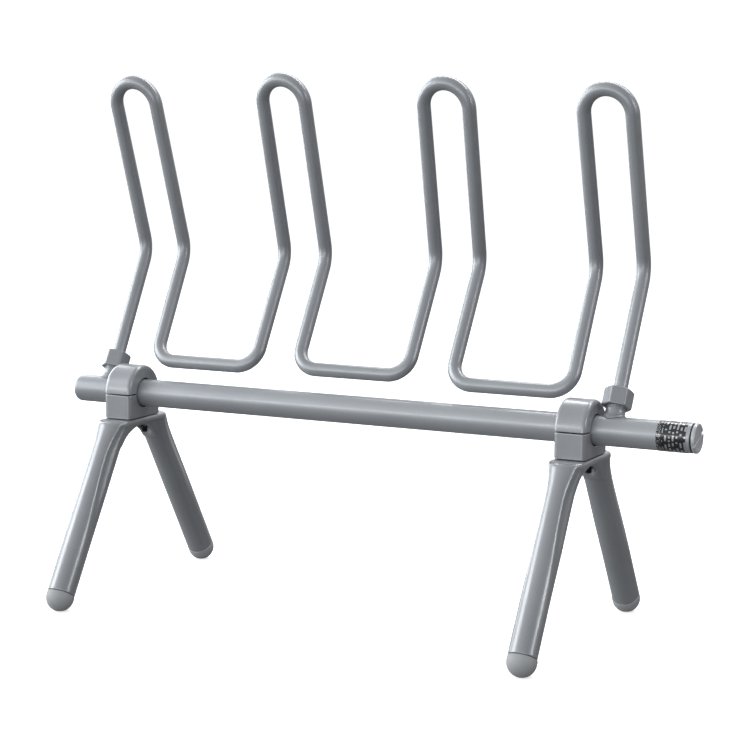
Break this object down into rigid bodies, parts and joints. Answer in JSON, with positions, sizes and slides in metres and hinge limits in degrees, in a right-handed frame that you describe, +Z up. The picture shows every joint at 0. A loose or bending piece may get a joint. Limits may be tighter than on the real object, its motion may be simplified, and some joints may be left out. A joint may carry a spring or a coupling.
{
  "type": "boot dryer",
  "caption": "Free-standing boot dryer: a heated horizontal tube with a bent-tube radiator whose loops hold boots, on two swivelling A-shaped leg frames.",
  "frame": {"origin": "middle of the footprint on the floor, below the main tube's axis and half-way along it", "axes": "+X along the main tube towards the slotted end plug, +Y to the rear, +Z up"},
  "size_m": [0.6186, 0.265, 0.4839],
  "materials": {
    "silver_paint": "gloss silver-grey metallic paint",
    "silver_moulding": "satin silver-grey moulding",
    "foot_rubber": "light grey soft rubber",
    "black_rubber": "black rubber",
    "black_steel": "black oxide steel",
    "turned_brass": "turned brass",
    "stainless_steel": "stainless steel",
    "label_foil": "bright foil with plain dark bars",
    "ceramic": "white steatite or moulding",
    "plug_plastic": "light grey moulding",
    "gland_nylon": "black nylon"
  },
  "bodies": {
    "dryer": {"main_tube": "silver_paint", "end_plug": "plug_plastic", "end_plug_seal": "black_rubber", "rating_label": "label_foil", "radiator_coil": "silver_paint", "left_nipple": "silver_paint", "left_compression_nut": "silver_paint", "left_ferrule": "turned_brass", "right_nipple": "silver_paint", "right_compression_nut": "silver_paint", "right_ferrule": "turned_brass", "heater_rod": "stainless_steel", "heater_bulkhead": "turned_brass", "bulkhead_seal": "black_rubber", "heater_spacer_1": "stainless_steel", "heater_spacer_2": "stainless_steel", "thermal_cutout": "ceramic", "terminal_block": "ceramic", "cord_gland": "gland_nylon", "gland_grommet": "black_rubber"},
    "left_leg": {"left_clamp_cap": "silver_moulding", "left_clamp_block": "silver_moulding", "left_clamp_liner": "black_rubber", "left_leg_frame": "silver_moulding", "left_front_foot": "foot_rubber", "left_rear_foot": "foot_rubber", "left_front_clamp_stud": "black_steel", "left_rear_clamp_stud": "black_steel", "left_front_clamp_nut": "black_steel", "left_rear_clamp_nut": "black_steel"},
    "right_leg": {"right_clamp_cap": "silver_moulding", "right_clamp_block": "silver_moulding", "right_clamp_liner": "black_rubber", "right_leg_frame": "silver_moulding", "right_front_foot": "foot_rubber", "right_rear_foot": "foot_rubber", "right_front_clamp_stud": "black_steel", "right_rear_clamp_stud": "black_steel", "right_front_clamp_nut": "black_steel", "right_rear_clamp_nut": "black_steel"}
  },
  "joints": [
    {"name": "left_leg_swivel", "type": "hinge", "parent": "dryer", "child": "left_leg", "pos_m": [-0.2496, 0, 0.1853], "axis": [1, 0, 0], "range_deg": [-70, 70]},
    {"name": "right_leg_swivel", "type": "hinge", "parent": "dryer", "child": "right_leg", "pos_m": [0.2046, 0, 0.1853], "axis": [1, 0, 0], "range_deg": [-70, 70]}
  ]
}
